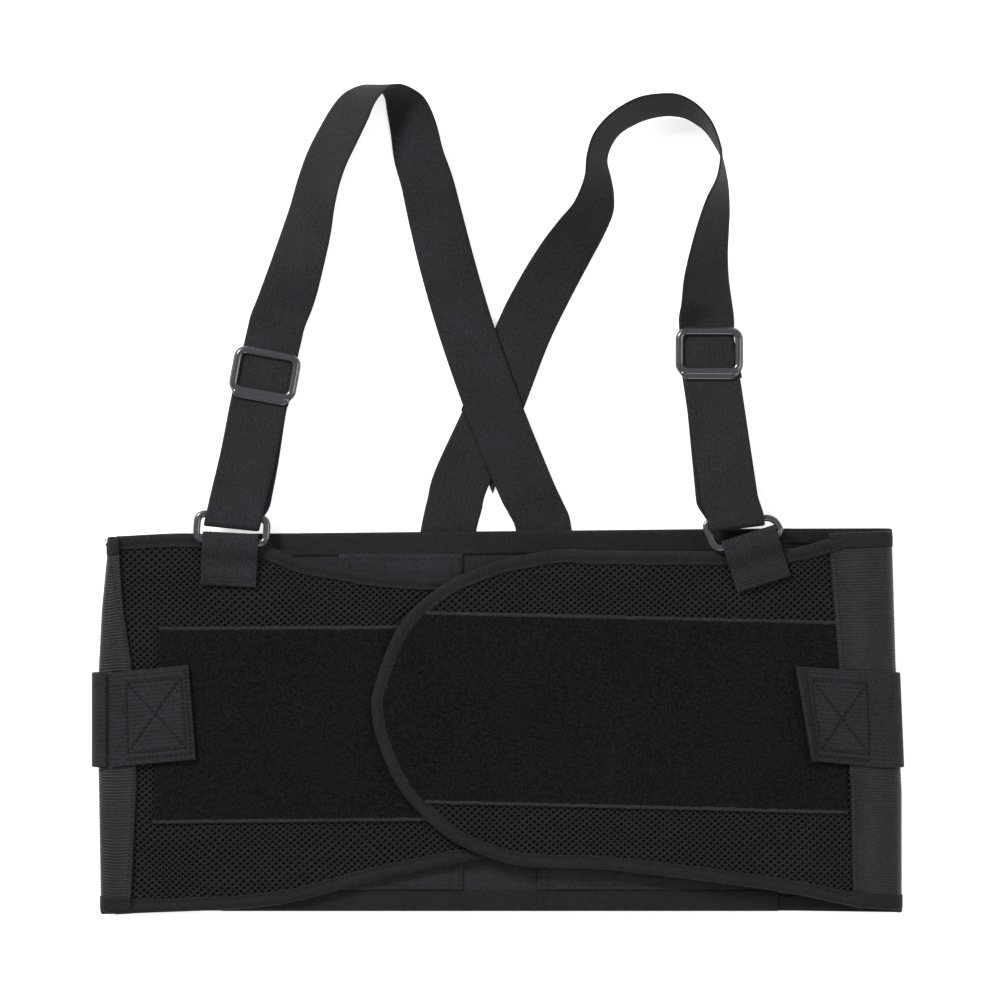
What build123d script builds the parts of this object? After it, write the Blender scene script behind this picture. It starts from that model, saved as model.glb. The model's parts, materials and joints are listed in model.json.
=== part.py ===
from build123d import *
from collections import namedtuple
import math
import os

os.makedirs("parts", exist_ok=True)

# Back support belt with crossed suspenders, lying on its back with the front closed.
# x runs across the belt, y from hem to top edge, z up from the table. Millimetres.

# ---- driving dimensions ------------------------------------------------------------------
WEB_W = 30.0            # suspender webbing width
STRAP_T = 1.5           # shoulder strap thickness
LAYER_T = 1.0           # each layer of the doubled front strap
BAND_T = 1.4            # outer tension band
BAND_W = 51.0           # outer tension band width
BAND_Y = 1.0            # its middle line
MESH_T = 2.6            # spacer mesh of the front panels
BACK_T = 2.5            # back panel
BACK_Z = 2.0            # underside of the back panel
ELASTIC_T = 1.8         # woven side elastic
ELASTIC_Z = 1.7         # its underside on the back
LOOP_T = 1.1            # fleece loop patch
HOOK_T = 0.9            # hook patches
GAP = 0.3               # clearance between pieces that move apart
BIND_W = 7.0            # folded binding tape, seen from one side
BIND_PROUD = 0.5        # how far the tape stands off the cloth it wraps
HEM_W = 10.0            # hem at the top and bottom of the back panel
BACK_HALF = 150.0       # half width of the back panel between the side elastics
BACK_TOP, BACK_BOTTOM = 102.0, -101.0
FOLD_CLEAR = 7.5        # the side elastic on the back stops this far inside the fold
TAB_LEN = 46.0          # free end of each tension tab, from the fold line
TAB_PIVOT = 2.2         # line that the tab peels up from, inside the fold line
RING_ROD = 3.0          # rod of the plastic rings
RING_W, RING_H = 37.6, 13.8      # between rod centres
EYE_R = 1.7             # inside radius of the webbing folded round a ring rod
TAB_DROP = 24.3         # front tab, from the ring's rod to its sewn end
SLIDER_W, SLIDER_L = 39.0, 30.0
SLIDER_BAR = 4.0
STAY_W, STAY_T, STAY_L = 8.0, 1.0, 178.0
COVER_T = 1.6           # stay cover sewn to the inside of the back panel
COVER_W, COVER_L = 67.0, 182.0

# one row for each side: x sign, underside of the mesh, fold line, azimuths in degrees, slopes
Side = namedtuple("Side", "name s mesh_z fold_x pivot ring_az strap_start strap_az slope "
                          "slider_u strap_end_u")
SIDES = [
    Side("left", -1, 6.9, -211.5, (-145.0, 96.9), -3.0, (-143.0, 110.7), -13.2, 4.7,
         79.0, 117.6),
    Side("right", 1, 11.8, 209.0, (134.5, 96.9), 18.0, (126.5, 110.7), 8.2, 7.4,
         88.7, 105.8),
]

# outlines of the front panels, from the side at the top round the tip to the side at the bottom
FRONT_OUTLINE = {
    "right": [(187, 101.5), (153, 92.5), (100, 91.5), (54, 91.8), (32, 92.5), (5, 88),
              (-11, 83), (-27, 76), (-43, 64.5), (-54, 52), (-62, 35.5), (-68, 17),
              (-69, 8), (-67, -10), (-58, -25), (-46.5, -42.5), (-37, -53), (-23, -65),
              (-8.5, -72.5), (13, -77.5), (54, -79), (73, -81), (103, -84.5), (153, -91.5),
              (195, -100)],
    "left": [(-203, 100), (-162, 101), (-128, 95), (-108, 87.5), (-86, 83), (-59, 79),
             (-24, 77.5), (5, 76), (27, 71), (43, 62), (54, 50), (62, 34), (67, 17),
             (68, 6), (66, -10), (58, -26), (46, -43), (37, -53), (23, -63), (8, -70),
             (-9, -73.5), (-40, -79.5), (-70, -86), (-124, -99), (-207, -103.5)],
}
# where the side elastic laps onto the mesh, from top to bottom
LAP_LINE = {
    "right": [(176.6, 99), (182.5, 30), (188.5, -37), (189.5, -98.5)],
    "left": [(-205.5, 99.5), (-198.2, 33), (-195.5, -32), (-199.5, -102)],
}
LOOP_OUTLINE = {
    "right": [(-75, 60), (40, 57), (179.5, 53.8), (183.5, -49), (40, -46), (-75, -42.5)],
    "left": [(-183.5, 50.5), (-60, 52), (75, 52), (75, -52), (-60, -53), (-187, -54.5)],
}

# Suspender stations: low edge x, y, azimuth across the strap, lean above the table, low edge z.
# Each strap starts above its slider, turns over at the top and runs down the back.
STRAP_STATIONS = {
    "left": [
        (-130.6, 228.8, -13.2, 0, 4.2), (-124, 247, -14, 16, 2.6), (-117, 267, -12, 28, 1.2),
        (-113, 279, -10, 36, 0.9), (-109, 293, -12, 44, 0.9), (-104, 307, -19, 46, 0.9),
        (-98, 319, -24, 46, 0.9), (-91, 331, -24, 47, 0.9), (-84, 339, -21, 52, 0.9),
        (-75, 343, -14, 60, 0.9), (-67, 342, -2, 64, 0.9), (-62.5, 337, 8, 57, 0.9),
        (-61, 329, 12, 43, 0.9), (-59, 317, 12, 33, 0.9), (-57, 302, 12, 26, 0.9),
        (-53, 287, 13, 20, 0.9), (-49, 268, 14, 13, 1.2), (-42, 239, 16, 5, 2.8),
        (-32, 205, 19, 0, 4.0), (-18, 165, 20, 0, 3.8), (-1, 123, 18, 0, 3.4),
        (4, 113, 13, 0, 1.7), (8, 105, 9, 0, 0.75), (9.5, 94, 5, 0, 0.75), (11, 80, 4, 0, 0.75)],
    "right": [
        (126.2, 217.4, 188.2, 0, 4.3), (125, 227, 186, 22, 2.6), (123.5, 239, 183, 40, 1.2),
        (123, 252, 179, 51, 0.9), (123.5, 264, 172, 59, 0.9), (124, 277, 167, 67, 0.9),
        (123, 290, 162, 76, 0.9), (120, 303, 150, 86, 0.9), (116, 311, -30, 87, 0.9),
        (111, 318, 10, 83, 0.9), (106, 322, 33, 77, 0.9), (99, 325.5, 47, 70, 0.9),
        (90, 326.5, 61, 64, 0.9), (81, 325, 73, 61, 0.9), (73, 322, 92, 62, 0.9),
        (65, 317, 122, 66, 0.9), (60, 310, 150, 68, 0.9), (58, 302, 172, 67, 0.9),
        (60, 293, 178, 61, 0.9), (61.5, 284, 177, 51, 0.9), (61, 274, 171, 41, 0.9),
        (56, 262, 164, 31, 0.9), (48, 247, 160, 21, 0.9), (37, 226, 158, 10, 1.3),
        (26, 203, 157, 1, 1.75), (9, 163, 156, 0, 1.8), (-9, 126, 160, 0, 1.75),
        (-12, 114, 169, 0, 1.1), (-14, 104, 178, 0, 0.75), (-14.5, 92, 180, 0, 0.75),
        (-15, 80, 180, 0, 0.75)],
}


def save(part, name):
    """Label one node and write its STEP file."""
    part.label = name
    export_step(part, f"parts/{name}.step")


def closed_face(points):
    """The sketch inside straight lines through the points."""
    with BuildSketch() as sk:
        with BuildLine():
            Polyline(*points, close=True)
        make_face()
    return sk.sketch


def panel_face(side, inset=0.0):
    """A front panel's outline: one smooth edge drawn in by inset, closed by a straight side."""
    points = FRONT_OUTLINE[side.name]
    edge = Spline(*points)
    if inset:
        count = 44
        samples = [(edge @ (i / count), edge % (i / count)) for i in range(count + 1)]
        points = [(p.X - side.s * t.Y * inset, p.Y + side.s * t.X * inset) for p, t in samples]
    with BuildSketch() as sk:
        with BuildLine():
            Spline(*points)
            Line(points[-1], points[0])
        make_face()
    return sk.sketch


def slab(face, z0, z1):
    """A plate of the sketch's shape between two heights."""
    with BuildPart() as p:
        with BuildSketch(Plane.XY.offset(z0)):
            add(face)
        extrude(amount=z1 - z0)
    return p.part


def box_at(x0, x1, y0, y1, z0, z1):
    return slab(closed_face([(x0, y0), (x1, y0), (x1, y1), (x0, y1)]), z0, z1)


def heading(az):
    """Across (x) direction of a frame turned by an azimuth."""
    return Vector(math.cos(math.radians(az)), math.sin(math.radians(az)), 0)


def tilted_frame(origin, az, slope):
    """Frame whose y runs away from the belt and down by slope, x across the strap."""
    across = heading(az)
    along = Vector(-across.Y, across.X, 0) * math.cos(math.radians(slope))
    along = along + Vector(0, 0, -math.sin(math.radians(slope)))
    return Plane(origin=origin, x_dir=across, z_dir=across.cross(along))


def mesh_top(side):
    return side.mesh_z + MESH_T


def loop_top(side):
    return mesh_top(side) + LOOP_T


def tab_bottom(side):
    return loop_top(side) + GAP + HOOK_T


def fold_z(side):
    return (tab_bottom(side) + BAND_T) / 2


def pivot_z(side):
    """Height of the ring's hinge rod, in the eye of the front tab."""
    return mesh_top(side) + BIND_PROUD + EYE_R + LAYER_T


def ring_frame(side):
    return tilted_frame((*side.pivot, pivot_z(side)), side.ring_az, side.slope)


def strap_frame(side):
    z = pivot_z(side) - RING_H * math.sin(math.radians(side.slope))
    return tilted_frame((*side.strap_start, z), side.strap_az, side.slope)


# ---- back panel, hems, stays and covers --------------------------------------------------
def back_panel():
    face = closed_face([(-BACK_HALF, BACK_BOTTOM), (BACK_HALF, BACK_BOTTOM),
                        (BACK_HALF, BACK_TOP + 1), (-BACK_HALF, BACK_TOP - 0.5)])
    return slab(face, BACK_Z, BACK_Z + BACK_T)


def hem(panel, top):
    """Folded tape round the panel's top or bottom edge, as a channel over the cloth."""
    y0, y1 = (BACK_TOP - HEM_W, BACK_TOP + 2) if top else (BACK_BOTTOM - 1, BACK_BOTTOM + HEM_W)
    tape = box_at(-BACK_HALF, BACK_HALF, y0, y1,
                  BACK_Z - BIND_PROUD, BACK_Z + BACK_T + BIND_PROUD)
    return tape - panel


def stay_and_cover():
    """Four spring-steel stays in two sewn covers, two channels to a cover."""
    z = BACK_Z + BACK_T
    for cover_no, cx in enumerate((-53.5, 53.5), start=1):
        cover = box_at(cx - COVER_W / 2, cx + COVER_W / 2, -COVER_L / 2, COVER_L / 2 - 0.5,
                       z, z + COVER_T)
        for stay_no, dx in enumerate((-18, 18), start=1):
            with BuildPart() as stay:
                with BuildSketch(Plane.XY.offset(z + 0.1)):
                    with Locations((cx + dx, 0)):
                        RectangleRounded(STAY_W, STAY_L, 3.9)
                extrude(amount=STAY_T)
            with BuildPart() as channel:
                with BuildSketch(Plane.XY.offset(z)):
                    with Locations((cx + dx, 0)):
                        Rectangle(STAY_W + 0.4, STAY_L + 0.6)
                extrude(amount=STAY_T + 0.2)
            cover = cover - channel.part
            save(stay.part, f"stay_{2 * cover_no + stay_no - 2}")
        save(cover, f"stay_cover_{'left' if cx < 0 else 'right'}")


# ---- side elastic and tension bands ------------------------------------------------------
def arc_wrap(side, r_in, r_out, y0, y1):
    """Half tube round the side fold, open toward the belt."""
    with BuildPart() as p:
        frame = Plane(origin=(side.fold_x, y1, fold_z(side)), x_dir=(1, 0, 0), z_dir=(0, -1, 0))
        with BuildSketch(frame):
            Circle(r_out)
            Circle(r_in, mode=Mode.SUBTRACT)
            with Locations((-side.s * r_out, 0)):
                Rectangle(2 * r_out, 2 * r_out, mode=Mode.SUBTRACT)
        extrude(amount=y1 - y0)
    return p.part


def elastic_back(side):
    """Side elastic lying on the back, from the back panel to just inside the fold."""
    x0, x1 = side.s * BACK_HALF, side.fold_x - side.s * FOLD_CLEAR
    face = closed_face([(x0, -101), (x1, -102.5), (x1, 103), (x0, 102)])
    return slab(face, ELASTIC_Z, ELASTIC_Z + ELASTIC_T)


def elastic_front(side):
    """Side elastic round the fold and onto the front, where it laps over the mesh."""
    r_out = fold_z(side) - ELASTIC_Z
    top = fold_z(side) + r_out
    wrap = arc_wrap(side, r_out - ELASTIC_T, r_out, -103.5, 103.5)
    lap = closed_face([(side.fold_x, 103.5), *LAP_LINE[side.name], (side.fold_x, -103.5)])
    return wrap + slab(lap, mesh_top(side), top)


def tension_band():
    """Outer band right across the back, sewn down at its middle."""
    x0, x1 = (side.fold_x - side.s * FOLD_CLEAR for side in SIDES)
    return box_at(x0, x1, BAND_Y - BAND_W / 2, BAND_Y + BAND_W / 2, 0, BAND_T)


def tension_wrap(side):
    return arc_wrap(side, fold_z(side) - BAND_T, fold_z(side),
                    BAND_Y - BAND_W / 2, BAND_Y + BAND_W / 2)


def tension_tab(side):
    """Webbing end of the band, peeled up from its outer end."""
    x0, x1 = side.fold_x - side.s * (TAB_PIVOT + 0.2), side.fold_x - side.s * TAB_LEN
    return box_at(min(x0, x1), max(x0, x1), BAND_Y - BAND_W / 2, BAND_Y + BAND_W / 2,
                  tab_bottom(side), tab_bottom(side) + BAND_T)


def tab_hook(side):
    """Hook patch under the free end of the tab."""
    length = {"left": 25.0, "right": 12.0}[side.name]
    x0, x1 = side.fold_x - side.s * (TAB_LEN - 1), side.fold_x - side.s * (TAB_LEN - 1 - length)
    return box_at(min(x0, x1), max(x0, x1), BAND_Y - BAND_W / 2 + 2, BAND_Y + BAND_W / 2 - 2,
                  tab_bottom(side) - HOOK_T, tab_bottom(side))


# ---- front panels ------------------------------------------------------------------------
def front_mesh(side):
    """Spacer mesh: the outline drawn in by 1 mm, with 6 mm more under the side elastic."""
    return slab(panel_face(side, 1.0), side.mesh_z, mesh_top(side))


def front_binding(side, mesh):
    """Tape folded over the free edge, open at the side elastic."""
    z0, z1 = side.mesh_z - BIND_PROUD, mesh_top(side) + BIND_PROUD
    tape = slab(panel_face(side), z0, z1) - slab(panel_face(side, BIND_W), z0, z1)
    lap = LAP_LINE[side.name]
    outside = side.s * 260
    side_cut = closed_face([(outside, 130), (lap[0][0] - side.s * 0.2, 130),
                            *[(x - side.s * 0.2, y) for x, y in lap],
                            (lap[-1][0] - side.s * 0.2, -130), (outside, -130)])
    return tape - slab(side_cut, 0, 30) - mesh


def loop_patch(side):
    """Fleece loop field on the front, trimmed to the binding."""
    inside = panel_face(side, BIND_W)
    field = slab(closed_face(LOOP_OUTLINE[side.name]), mesh_top(side), loop_top(side))
    return field & slab(inside, 0, 30)


def closure_hook(side):
    """Hook patch under the right panel's tip, facing the left panel's loop field."""
    inside = panel_face(side, BIND_W + 1)
    patch = box_at(-66, 30, -38, 46, side.mesh_z - HOOK_T, side.mesh_z)
    return patch & slab(inside, 0, 30)


# ---- webbing, rings and sliders ----------------------------------------------------------
def across_extrude(frame, width):
    """Sketch plane whose x runs along the strap and y is normal to it, centred on the width."""
    return Plane(origin=frame.origin + frame.x_dir * (-width / 2), x_dir=frame.y_dir,
                 z_dir=frame.y_dir.cross(frame.z_dir))


def front_tab(side):
    """Webbing folded round the ring and sewn down to the panel below it."""
    frame = tilted_frame((*side.pivot, pivot_z(side)), side.ring_az, 0)
    r0, r1, reach = EYE_R, EYE_R + LAYER_T, 2.1
    with BuildPart() as p:
        with BuildSketch(across_extrude(frame, WEB_W)):
            with BuildLine():
                Polyline((reach, -r1), (-TAB_DROP, -r1), (-TAB_DROP, -r1 + 2 * LAYER_T),
                         (-12, -r1 + 2 * LAYER_T), (-2, r1), (reach, r1))
                ThreePointArc((reach, r1), (reach + r1, 0), (reach, -r1))
            make_face()
            with BuildLine():
                Polyline((reach, -r0), (-10.5, -r0), (-1.4, r0), (reach, r0))
                ThreePointArc((reach, r0), (reach + r0, 0), (reach, -r0))
            make_face(mode=Mode.SUBTRACT)
        extrude(amount=WEB_W)
    return p.part


def ring(side):
    """Round-rod rectangular ring; its lower rod is the hinge in the front tab."""
    frame = ring_frame(side)
    middle = Plane(origin=frame.origin + frame.y_dir * (RING_H / 2),
                   x_dir=frame.x_dir, z_dir=frame.z_dir)
    path = (middle * RectangleRounded(RING_W, RING_H, 3.5)).wire()
    with BuildPart() as p:
        with BuildSketch(Plane(origin=path @ 0, z_dir=path % 0)):
            Circle(RING_ROD / 2)
        sweep(path=path)
    return p.part


def strap_fold(side):
    """End of the doubled strap, folded round the ring's upper rod."""
    base = ring_frame(side)
    frame = Plane(origin=base.origin + base.y_dir * RING_H, x_dir=base.x_dir, z_dir=base.z_dir)
    r0, r1, drop, rise = EYE_R, EYE_R + LAYER_T, -4.3, 3.0
    with BuildPart() as p:
        with BuildSketch(across_extrude(frame, WEB_W)):
            with BuildLine():
                Polyline((drop, r1), (rise, r1), (rise, r0), (drop, r0))
                ThreePointArc((drop, r0), (drop - r0, 0), (drop, -r0))
                Polyline((drop, -r0), (rise, -r0), (rise, -r1), (drop, -r1))
                ThreePointArc((drop, -r1), (drop - r1, 0), (drop, r1))
            make_face()
        extrude(amount=WEB_W)
    return p.part


def strap_layer(side, front):
    """Straight front or return layer of the doubled strap, from the fold to the slider."""
    frame = strap_frame(side)
    skew = math.tan(math.radians(side.ring_az - side.strap_az)) * WEB_W / 2
    u0 = 3.6 if side.s < 0 else 4.4
    u1 = side.strap_end_u if front else side.slider_u + 8
    n0 = EYE_R if front else -EYE_R - LAYER_T
    with BuildPart() as p:
        with BuildSketch(frame.offset(n0)):
            add(closed_face([(-WEB_W / 2, u0 - skew), (WEB_W / 2, u0 + skew),
                             (WEB_W / 2, u1), (-WEB_W / 2, u1)]))
        extrude(amount=LAYER_T)
    return p.part


def slider_frame(side):
    frame = strap_frame(side)
    return Plane(origin=frame.origin + frame.y_dir * side.slider_u,
                 x_dir=frame.x_dir, z_dir=frame.z_dir)


def slider(side):
    """Three-bar slide: an outer frame over the strap and a centre bar under it."""
    frame = slider_frame(side)
    low, high = -0.7, EYE_R + LAYER_T + 0.2
    with BuildPart() as p:
        with BuildSketch(frame.offset(high)):
            RectangleRounded(SLIDER_W, SLIDER_L, 5)
            RectangleRounded(SLIDER_W - 2 * SLIDER_BAR, SLIDER_L - 2 * SLIDER_BAR, 2.5,
                             mode=Mode.SUBTRACT)
        extrude(amount=2.0)
        fillet(p.faces().sort_by(Axis(frame.origin, frame.z_dir))[-1].edges(), 0.8)
        with BuildSketch(frame.offset(low)):
            with Locations((-SLIDER_W / 2 + 2, 0), (SLIDER_W / 2 - 2, 0)):
                Rectangle(3.6, 20)
        extrude(amount=high - low)
        with BuildSketch(frame.offset(low)):
            Rectangle(SLIDER_W - 1, SLIDER_BAR)
        extrude(amount=-2 * low)
    return p.part


def strap_end(side):
    """Strap end wrapped round the slider's centre bar and sewn back on itself."""
    frame = slider_frame(side)
    t, r, half = 0.7, 0.8, SLIDER_BAR / 2 + 0.1
    with BuildPart() as p:
        with BuildSketch(across_extrude(frame, WEB_W - 1)):
            with BuildLine():
                Polyline((-half - t, -r - t), (half + t, -r - t), (half + t, r + t),
                         (-half - t, r + t), close=True)
            make_face()
            with Locations((-half - t - 6, -r - t / 2)):
                Rectangle(12, t)
            Rectangle(2 * half, 2 * r, mode=Mode.SUBTRACT)
        extrude(amount=WEB_W - 1)
    return p.part


# ---- suspenders on the shoulders and back ------------------------------------------------
def strap_edges(stations):
    """Low and high edge points of a strap at each station."""
    low, high = [], []
    for x, y, az, lean, z in stations:
        across = heading(az) * math.cos(math.radians(lean))
        across = across + Vector(0, 0, math.sin(math.radians(lean)))
        low.append(Vector(x, y, z))
        high.append(low[-1] + across * WEB_W)
    return low, high


def smoothed(points, steps=3):
    """Points on a Catmull-Rom curve, with steps to each interval."""
    padded = [points[0] * 2 - points[1], *points, points[-1] * 2 - points[-2]]
    out = []
    for a, b, c, d in zip(padded, padded[1:], padded[2:], padded[3:]):
        for i in range(steps):
            t = i / steps
            out.append((b * 2 + (c - a) * t + (a * 2 - b * 5 + c * 4 - d) * t ** 2
                        + (b * 3 - a - c * 3 + d) * t ** 3) * 0.5)
    return out + [points[-1]]


def shoulder_strap(stations):
    """Webbing lofted through thin rectangles, each square to the strap's run."""
    low, high = (smoothed(edge) for edge in strap_edges(stations))
    middle = [(a + b) * 0.5 for a, b in zip(low, high)]
    sections = []
    for i, (a, b) in enumerate(zip(low, high)):
        along = middle[min(i + 1, len(middle) - 1)] - middle[max(i - 1, 0)]
        up = (b - a).cross(along).normalized() * (STRAP_T / 2)
        sections.append(Face(Wire.make_polygon([a - up, b - up, b + up, a + up], close=True)))
    with BuildPart() as p:
        loft(sections=sections, ruled=True)
    return p.part


def cross_patch():
    """Reinforcement under the sewn crossing of the two suspenders."""
    return slab(closed_face([(-4, 213), (13, 168), (-4, 122.5), (-21, 168)]), 0, 0.9)


# ---- build everything --------------------------------------------------------------------
def main():
    panel = back_panel()
    save(panel, "back_panel")
    save(hem(panel, True), "back_hem_top")
    save(hem(panel, False), "back_hem_bottom")
    stay_and_cover()
    save(tension_band(), "tension_band")
    save(cross_patch(), "cross_patch")

    for side in SIDES:
        name = side.name
        save(elastic_back(side), f"side_elastic_back_{name}")
        save(elastic_front(side), f"side_elastic_front_{name}")
        save(tension_wrap(side), f"tension_wrap_{name}")
        save(tension_tab(side), f"tension_tab_{name}")
        save(tab_hook(side), f"tab_hook_{name}")
        mesh = front_mesh(side)
        save(mesh, f"front_mesh_{name}")
        save(front_binding(side, mesh), f"front_binding_{name}")
        save(loop_patch(side), f"loop_patch_{name}")
        save(front_tab(side), f"front_tab_{name}")
        save(ring(side), f"ring_{name}")
        save(strap_fold(side), f"strap_fold_{name}")
        save(strap_layer(side, True), f"strap_front_{name}")
        save(strap_layer(side, False), f"strap_return_{name}")
        save(slider(side), f"slider_{name}")
        save(strap_end(side), f"strap_end_{name}")
        save(shoulder_strap(STRAP_STATIONS[name]), f"shoulder_strap_{name}")
    save(closure_hook(SIDES[1]), "closure_hook")


main()
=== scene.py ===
import json
import math

import bpy
import numpy as np
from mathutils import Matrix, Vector

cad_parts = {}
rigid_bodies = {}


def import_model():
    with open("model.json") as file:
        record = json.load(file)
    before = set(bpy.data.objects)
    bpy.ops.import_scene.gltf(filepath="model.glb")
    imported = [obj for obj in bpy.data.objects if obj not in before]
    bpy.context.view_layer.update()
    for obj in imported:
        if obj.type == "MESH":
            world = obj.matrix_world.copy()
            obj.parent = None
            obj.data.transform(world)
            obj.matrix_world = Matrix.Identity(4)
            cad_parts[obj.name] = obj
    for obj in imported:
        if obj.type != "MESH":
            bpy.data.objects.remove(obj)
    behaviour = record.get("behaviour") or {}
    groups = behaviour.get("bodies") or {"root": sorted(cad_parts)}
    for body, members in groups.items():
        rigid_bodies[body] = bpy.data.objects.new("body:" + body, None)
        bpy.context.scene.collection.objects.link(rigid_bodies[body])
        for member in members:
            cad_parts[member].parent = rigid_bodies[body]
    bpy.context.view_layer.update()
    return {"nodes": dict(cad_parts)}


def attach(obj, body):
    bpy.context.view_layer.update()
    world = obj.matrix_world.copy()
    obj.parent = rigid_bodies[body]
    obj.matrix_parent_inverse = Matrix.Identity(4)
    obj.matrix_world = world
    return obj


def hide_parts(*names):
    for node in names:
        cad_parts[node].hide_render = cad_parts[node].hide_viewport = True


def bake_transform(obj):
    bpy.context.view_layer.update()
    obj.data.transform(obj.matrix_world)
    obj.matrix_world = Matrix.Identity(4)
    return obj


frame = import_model()
MM = 0.001
rng = np.random.default_rng(7)

# ---- dimensions, in mm: the CAD's, other than the thinner straps --------------------------
WEB_W, STRAP_T = 30.0, 1.1              # suspender webbing
MESH_T, LOOP_T, ELASTIC_T, BAND_T = 2.6, 1.1, 1.8, 1.4
BAND_W, BAND_Y = 51.0, 1.0              # tension band and the height of its middle line
BIND_W = 7.0                            # binding tape, seen from one side
EYE_R = 1.7                             # inside radius of webbing folded round a ring's rod
RING_W, RING_H = 37.6, 13.8             # between the ring's rod centres
BACK_HALF = 150.0                       # half width of the back between the side elastics
TAB_PIVOT, TAB_LEN = 2.2, 46.0          # tension tab: peel line and free end from the fold
CELL_X, CELL_Y = 4.0, 3.5               # pitch of the mesh's cells
RIB = 1.7                               # pitch of the side elastic's ribs
WEB_RIB, BAND_RIB, TAB_RIB = 2.4, 2.2, 2.0      # pitch of the webbings' ribs

# Each side: sign of x, heights and fold line; the ring's rod in its tab (pivot, ring_az) and
# in the strap (start, az, slope); the slider and the strap's end as distances along the strap.
SIDES = {
    "left": dict(s=-1, mesh_z=6.9, fold_x=-211.5, pivot=(-145.0, 96.9), ring_az=-3.0,
                 start=(-143.0, 110.7), az=-13.2, slope=4.7, slider_u=79.0, end_u=117.6),
    "right": dict(s=1, mesh_z=11.8, fold_x=209.0, pivot=(134.5, 96.9), ring_az=18.0,
                  start=(126.5, 110.7), az=8.2, slope=7.4, slider_u=88.7, end_u=105.8),
}
for side in SIDES.values():
    side["top"] = side["mesh_z"] + MESH_T
    side["loop"] = side["top"] + LOOP_T
    side["tab"] = side["loop"] + 1.2
    side["fold_z"] = (side["tab"] + BAND_T) / 2
    side["pivot_z"] = side["top"] + 3.2

# free edge of each front panel, from the top of the fold round the tip to the bottom
OUTLINE = {
    "right": [(187, 101.5), (153, 92.5), (100, 91.5), (54, 91.8), (32, 92.5), (5, 88),
              (-11, 83), (-27, 76), (-43, 64.5), (-54, 52), (-62, 35.5), (-68, 17),
              (-69, 8), (-67.3, -4.5), (-64.2, -14), (-60.3, -24), (-55.5, -33.5), (-49, -42.5),
              (-41, -51.3), (-32, -59.5), (-21, -66.5), (-8.5, -71.8), (13, -77.5), (54, -79),
              (73, -81), (103, -84.5), (153, -91.5), (195, -100)],
    "left": [(-206.5, 99.6), (-162, 101), (-128, 95), (-108, 87.5), (-86, 83), (-59, 79),
             (-24, 77.5), (5, 76), (27, 71), (43, 62), (54, 50), (62, 34), (67, 17),
             (68, 6), (66, -10), (58, -26), (46, -43), (37, -53), (23, -63), (8, -70),
             (-9, -73.5), (-40, -79.5), (-70, -86), (-124, -99), (-207, -103.5)],
}
# where the side elastic laps onto the mesh, from top to bottom
LAP = {
    "right": [(176.6, 99), (182.5, 30), (188.5, -37), (189.5, -98.5)],
    "left": [(-210.5, 99.5), (-198.2, 33), (-195.5, -32), (-199.5, -102)],
}
# how far the side fold bows in from straight, at heights along it
BOW = {"left": ((-104, -25, 30, 65, 99), (1.5, 0, 0, 2.0, 5.6)),
       "right": ((-40, 33, 104), (0, -4.2, -6.8))}
# how far the tension band stands outside the elastic at the fold
BAND_OUT = {"left": 2.4, "right": 0.4}
# top and bottom edge of the side elastic: on the back, and where it turns the fold
ELASTIC_Y = {"left": dict(back=(-100.6, 99.3), fold=(-102.4, 97.8)),
             "right": dict(back=(-100.6, 102.3), fold=(-101.3, 102.4))}
# turn in degrees and x, y shift of the ring's rod in its tab, then of the one in the strap
RING_ASKEW = {"left": (-1.0, (0.3, 0.0), -4.5, (-0.8, 0.0)),
              "right": (-4.5, (-0.8, 0.0), 4.0, (1.6, -2.0))}
FOLD_AZ = {"left": -6.0, "right": 7.0}          # the strap's fold round the ring
PEEK = {"left": 2.6, "right": -3.2}             # how far the layer behind shows beside it
SLIDER_SHIFT = {"left": -1.4, "right": -1.6}    # webbing's drift across, on its way to the slider
SLIDER_TURN = {"left": 3.0, "right": -8.5}      # slider against the webbing, in degrees
SLIDER_MOVE = {"left": (0.0, -1.8), "right": (0.45, 0.2)}   # across and along the webbing
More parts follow.
